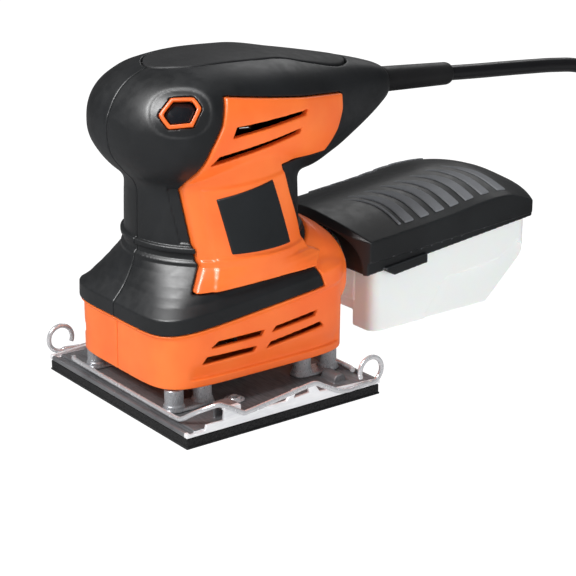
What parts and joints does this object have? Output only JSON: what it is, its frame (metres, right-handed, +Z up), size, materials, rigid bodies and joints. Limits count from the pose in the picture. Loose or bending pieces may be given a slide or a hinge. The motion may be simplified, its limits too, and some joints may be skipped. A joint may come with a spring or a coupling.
{
  "type": "quarter-sheet palm sander",
  "caption": "Corded quarter-sheet orbital palm sander: grip housing over a vertical motor, foam-faced platen with wire paper clamps, and a slide-off dust box at the back.",
  "frame": {"origin": "centre of the pad's underside, on the surface the sander stands on", "axes": "+Z up out of the work; +X towards the tail, the cord and the dust box; -X is the nose; -Y is the operator's left"},
  "size_m": [0.3664, 0.1733, 0.1472],
  "materials": {
    "housing_black": "fine-textured moulded",
    "grip_soft": "soft matt",
    "shroud_orange": "satin moulded",
    "label_dark": "satin film",
    "steel": "zinc plated",
    "wire_bright": "bright drawn wire",
    "platen_aluminium": "milled",
    "foam_black": "closed-cell foam",
    "rubber_black": "matt",
    "lamination": "stacked sheet",
    "copper": "enamelled wire",
    "brass": "bright",
    "carbon": "pressed carbon",
    "tub_frosted": "frosted translucent",
    "filter_paper": "pleated paper",
    "cord_black": "satin sheath"
  },
  "bodies": {
    "root": {"housing_left": "housing_black", "housing_right": "housing_black", "shroud_left": "shroud_orange", "shroud_right": "shroud_orange", "palm_grip": "grip_soft", "label_left": "label_dark", "label_right": "label_dark", "housing_screw_1": "steel", "housing_screw_2": "steel", "housing_screw_3": "steel", "housing_screw_4": "steel", "housing_screw_5": "steel", "switch_bezel": "shroud_orange", "switch_body": "label_dark", "stator_core": "lamination", "field_coil_front": "copper", "field_coil_rear": "copper", "brush_holder_left": "brass", "brush_holder_right": "brass", "brush_left": "carbon", "brush_right": "carbon", "upper_bearing": "steel", "upper_bearing_boot": "rubber_black", "lower_bearing": "steel", "bearing_bracket": "platen_aluminium", "strain_relief": "rubber_black", "cord": "cord_black", "cord_coil": "cord_black", "cord_tail": "cord_black", "plug_body": "cord_black", "plug_blade_left": "brass", "plug_blade_right": "brass", "cord_clamp": "label_dark", "cord_clamp_screw_left": "steel", "cord_clamp_screw_right": "steel"},
    "rotor": {"motor_shaft": "steel", "rotor_core": "lamination", "rotor_winding_lower": "copper", "rotor_winding_upper": "copper", "commutator": "copper", "cooling_fan": "housing_black", "eccentric": "steel"},
    "platen": {"base_plate": "platen_aluminium", "pad_foam": "foam_black", "pad_bearing": "steel", "pad_bearing_screw": "steel", "foot_front_left": "steel", "foot_front_right": "steel", "foot_rear_left": "steel", "foot_rear_right": "steel", "plate_rivet_left": "steel", "plate_rivet_right": "steel"},
    "clamp_front": {"clamp_wire_front": "wire_bright"},
    "clamp_rear": {"clamp_wire_rear": "wire_bright"},
    "switch": {"switch_button": "housing_black"},
    "dust_box": {"dust_container": "tub_frosted", "dust_filter": "filter_paper", "outlet_seal": "rubber_black"},
    "dust_box_lid": {"dust_lid": "housing_black"}
  },
  "joints": [
    {"name": "rotor_spin", "type": "hinge", "parent": "root", "child": "rotor", "pos_m": [0.0008, 0, 0.06], "axis": [0, 0, 1], "continuous": true},
    {"name": "platen_orbit", "type": "hinge", "parent": "rotor", "child": "platen", "pos_m": [0, 0, 0.012], "axis": [0, 0, 1], "continuous": true},
    {"name": "clamp_front_swing", "type": "hinge", "parent": "platen", "child": "clamp_front", "pos_m": [-0.0275, -0.0567, 0.0127], "axis": [0, 1, 0], "range_deg": [0, 4]},
    {"name": "clamp_rear_swing", "type": "hinge", "parent": "platen", "child": "clamp_rear", "pos_m": [0.0275, 0.0567, 0.0127], "axis": [0, -1, 0], "range_deg": [0, 4]},
    {"name": "switch_slide", "type": "slide", "parent": "root", "child": "switch", "axis": [0.52, 0.7699, -0.37], "range_m": [0, 0.0025]},
    {"name": "dust_box_slide", "type": "slide", "parent": "root", "child": "dust_box", "axis": [1, 0, 0], "range_m": [0, 0.045]},
    {"name": "lid_lift", "type": "slide", "parent": "dust_box", "child": "dust_box_lid", "axis": [-0.1056, 0, 0.9944], "range_m": [0, 0.012]}
  ],
  "couplings": [
    {"joint": "platen_orbit", "follows": "rotor_spin", "ratio": -1}
  ]
}
